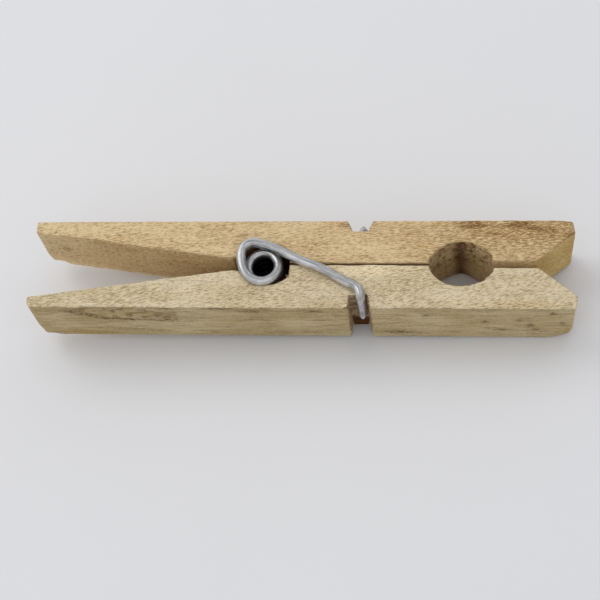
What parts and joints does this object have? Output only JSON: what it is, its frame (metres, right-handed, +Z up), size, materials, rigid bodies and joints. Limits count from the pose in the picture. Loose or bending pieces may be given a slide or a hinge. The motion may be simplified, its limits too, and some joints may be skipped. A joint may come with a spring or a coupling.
{
  "type": "sprung clothespin",
  "caption": "Wooden clothespin of two levers held by a wire torsion spring, with a line hole, a flared mouth and tapered handles.",
  "frame": {"origin": "below the middle of the pin, level with the underside of the spring, so that the pin lies on its side on z = 0", "axes": "+X runs from the handle tips to the jaws, +Y from the front lever to the rear lever, across the seam at y = 0, and +Z is up, along the spring's coil"},
  "size_m": [0.072, 0.013, 0.0114],
  "materials": {
    "front_wood": "rough-sawn pale birch, unfinished",
    "rear_wood": "rough-sawn pale birch, unfinished, slightly more golden",
    "spring_wire": "dull galvanised wire"
  },
  "bodies": {
    "front_half": {"front_lever": "front_wood", "spring_coil": "spring_wire", "spring_front_arm": "spring_wire"},
    "rear_half": {"rear_lever": "rear_wood", "spring_rear_arm": "spring_wire"}
  },
  "joints": [
    {"name": "jaw_opening", "type": "hinge", "parent": "front_half", "child": "rear_half", "pos_m": [-0.00475, 0, 0.00568], "axis": [0, 0, 1], "range_deg": [0, 17], "stiffness_Nm_per_rad": 0.5, "springref_deg": -2.29, "deforming": ["spring_coil"]}
  ]
}
